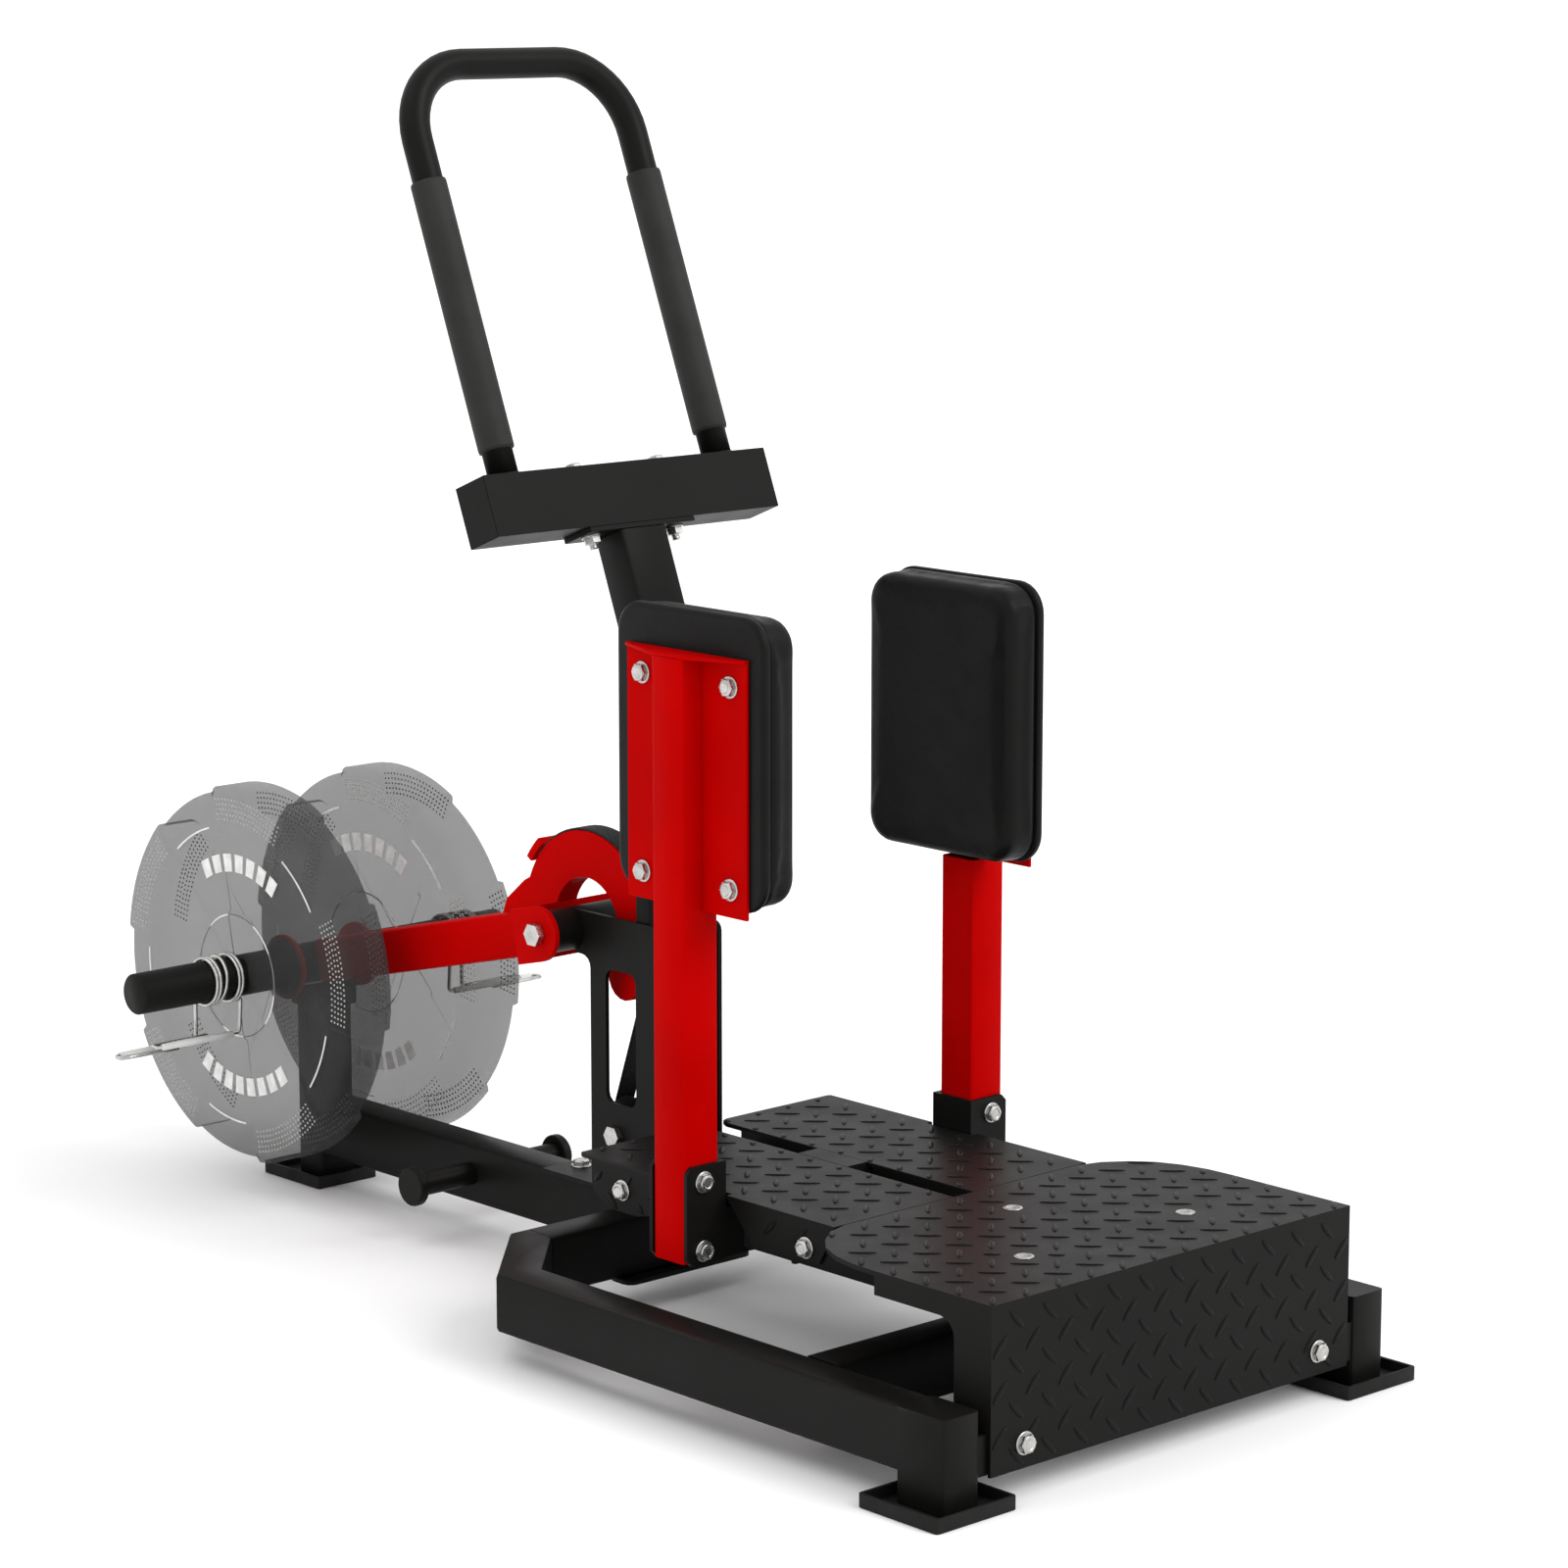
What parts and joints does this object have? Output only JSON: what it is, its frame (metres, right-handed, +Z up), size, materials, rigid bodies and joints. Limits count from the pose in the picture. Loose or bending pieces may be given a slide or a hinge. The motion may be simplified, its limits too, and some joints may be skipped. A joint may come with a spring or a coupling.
{
  "type": "standing hip abduction machine",
  "caption": "Plate-loaded standing machine with swinging thigh pads, tread platform, leaning handle and a weight lever worked through a strap and cam.",
  "frame": {"origin": "centre of the bounding box footprint on the floor", "axes": "+X to the right seen from the riser, +Y from the riser to the weight lever, +Z up"},
  "size_m": [0.722, 1.6894, 1.4012],
  "materials": {
    "base_beam_left": "satin powder coat",
    "base_beam_right": "satin powder coat",
    "floor_strip": "satin powder coat",
    "foam_grip_left": "soft foam grip",
    "foam_grip_right": "soft foam grip",
    "foot_plate_left": "satin powder coat",
    "foot_plate_right": "satin powder coat",
    "foot_tray_left": "moulded black rubber",
    "foot_tray_right": "moulded black rubber",
    "front_cross_member": "satin powder coat",
    "guide_bracket": "satin powder coat",
    "guide_pulley": "satin powder coat",
    "handle_bar": "satin powder coat",
    "handle_cross_box": "satin powder coat",
    "handle_mount_plate": "satin powder coat",
    "lever_cam": "gloss powder coat",
    "lever_fork": "gloss powder coat",
    "lever_stop": "moulded black rubber",
    "lever_tube": "gloss powder coat",
    "lower_pulley": "satin powder coat",
    "lower_pulley_axle": "bright zinc plate",
    "main_upright": "satin powder coat",
    "pad_board_left": "padded black upholstery vinyl",
    "pad_board_right": "padded black upholstery vinyl",
    "pad_cushion_left": "padded black upholstery vinyl",
    "pad_cushion_right": "padded black upholstery vinyl",
    "pad_plate_left": "gloss powder coat",
    "pad_plate_right": "gloss powder coat",
    "pad_post_left": "gloss powder coat",
    "pad_post_right": "gloss powder coat",
    "pivot_axle": "bright zinc plate",
    "pivot_bracket": "satin powder coat",
    "pivot_tube": "satin powder coat",
    "platform_crossbar": "satin powder coat",
    "platform_front_cover": "satin powder coat",
    "platform_rail_left": "satin powder coat",
    "platform_rail_right": "satin powder coat",
    "rear_cross_member": "satin powder coat",
    "rear_foot_tray": "moulded black rubber",
    "rear_upright": "satin powder coat",
    "spine_tube": "satin powder coat",
    "spring_collar_left": "bright zinc plate",
    "spring_collar_right": "bright zinc plate",
    "storage_peg_left": "satin powder coat",
    "storage_peg_right": "satin powder coat",
    "strap": "woven flat strap",
    "strap_clamp": "gloss powder coat",
    "strap_yoke": "bright zinc plate",
    "swing_arm_left": "satin powder coat",
    "swing_arm_right": "satin powder coat",
    "tie_bar_left": "satin powder coat",
    "tie_bar_right": "satin powder coat",
    "tower_base_plate": "satin powder coat",
    "tower_plate_left": "satin powder coat",
    "tower_plate_right": "satin powder coat",
    "weight_plate_left": "grey rubber weight plate, slightly see-through",
    "weight_plate_right": "grey rubber weight plate, slightly see-through",
    "weight_sleeve": "satin powder coat"
  },
  "bodies": {
    "frame": {"base_beam_left": "base_beam_left", "base_beam_right": "base_beam_right", "floor_strip": "floor_strip", "foam_grip_left": "foam_grip_left", "foam_grip_right": "foam_grip_right", "foot_plate_left": "foot_plate_left", "foot_plate_right": "foot_plate_right", "foot_tray_left": "foot_tray_left", "foot_tray_right": "foot_tray_right", "front_cross_member": "front_cross_member", "guide_bracket": "guide_bracket", "handle_bar": "handle_bar", "handle_cross_box": "handle_cross_box", "handle_mount_plate": "handle_mount_plate", "lever_stop": "lever_stop", "lower_pulley_axle": "lower_pulley_axle", "main_upright": "main_upright", "pivot_axle": "pivot_axle", "pivot_bracket": "pivot_bracket", "pivot_tube": "pivot_tube", "platform_crossbar": "platform_crossbar", "platform_front_cover": "platform_front_cover", "platform_rail_left": "platform_rail_left", "platform_rail_right": "platform_rail_right", "rear_cross_member": "rear_cross_member", "rear_foot_tray": "rear_foot_tray", "rear_upright": "rear_upright", "spine_tube": "spine_tube", "storage_peg_left": "storage_peg_left", "storage_peg_right": "storage_peg_right", "strap": "strap", "tie_bar_left": "tie_bar_left", "tie_bar_right": "tie_bar_right", "tower_base_plate": "tower_base_plate", "tower_plate_left": "tower_plate_left", "tower_plate_right": "tower_plate_right"},
    "lever": {"lever_fork": "lever_fork", "lever_tube": "lever_tube", "lever_cam": "lever_cam", "strap_clamp": "strap_clamp", "weight_sleeve": "weight_sleeve"},
    "arm_left": {"swing_arm_left": "swing_arm_left", "pad_post_left": "pad_post_left", "pad_plate_left": "pad_plate_left", "pad_board_left": "pad_board_left", "pad_cushion_left": "pad_cushion_left"},
    "arm_right": {"swing_arm_right": "swing_arm_right", "pad_post_right": "pad_post_right", "pad_plate_right": "pad_plate_right", "pad_board_right": "pad_board_right", "pad_cushion_right": "pad_cushion_right"},
    "yoke": {"strap_yoke": "strap_yoke"},
    "lower_pulley_wheel": {"lower_pulley": "lower_pulley"},
    "guide_pulley_wheel": {"guide_pulley": "guide_pulley"},
    "plate_left": {"weight_plate_left": "weight_plate_left"},
    "plate_right": {"weight_plate_right": "weight_plate_right"},
    "collar_left": {"spring_collar_left": "spring_collar_left"},
    "collar_right": {"spring_collar_right": "spring_collar_right"}
  },
  "joints": [
    {"name": "lever_swing", "type": "hinge", "parent": "frame", "child": "lever", "pos_m": [0, 0.0837, 0.407], "axis": [1, 0, 0], "range_deg": [0, 14.5]},
    {"name": "arm_swing_left", "type": "hinge", "parent": "frame", "child": "arm_left", "pos_m": [-0.06, -0.3133, 0.163], "axis": [0, -1, 0], "range_deg": [0, 25.1]},
    {"name": "arm_swing_right", "type": "hinge", "parent": "frame", "child": "arm_right", "pos_m": [0.06, -0.3133, 0.163], "axis": [0, 1, 0], "range_deg": [0, 25.1]},
    {"name": "yoke_lift", "type": "slide", "parent": "frame", "child": "yoke", "axis": [0, 0, 1], "range_m": [0, 0.0255]},
    {"name": "lower_pulley_spin", "type": "hinge", "parent": "frame", "child": "lower_pulley_wheel", "pos_m": [0, 0.0047, 0.177], "axis": [1, 0, 0], "continuous": true},
    {"name": "guide_pulley_spin", "type": "hinge", "parent": "frame", "child": "guide_pulley_wheel", "pos_m": [0, -0.2979, 0.112], "axis": [1, 0, 0], "continuous": true},
    {"name": "plate_slide_left", "type": "slide", "parent": "lever", "child": "plate_left", "axis": [-1, 0, 0], "range_m": [0, 0.22]},
    {"name": "plate_slide_right", "type": "slide", "parent": "lever", "child": "plate_right", "axis": [1, 0, 0], "range_m": [0, 0.22]},
    {"name": "collar_slide_left", "type": "slide", "parent": "lever", "child": "collar_left", "axis": [-1, 0, 0], "range_m": [0, 0.221]},
    {"name": "collar_slide_right", "type": "slide", "parent": "lever", "child": "collar_right", "axis": [1, 0, 0], "range_m": [0, 0.221]}
  ],
  "couplings": [
    {"joint": "arm_swing_left", "follows": "lever_swing", "ratio": 1.7241},
    {"joint": "arm_swing_right", "follows": "lever_swing", "ratio": 1.7241},
    {"joint": "yoke_lift", "follows": "lever_swing", "m_per_rad": 0.1},
    {"joint": "collar_slide_left", "follows": "plate_slide_left", "ratio": 1},
    {"joint": "collar_slide_right", "follows": "plate_slide_right", "ratio": 1}
  ]
}
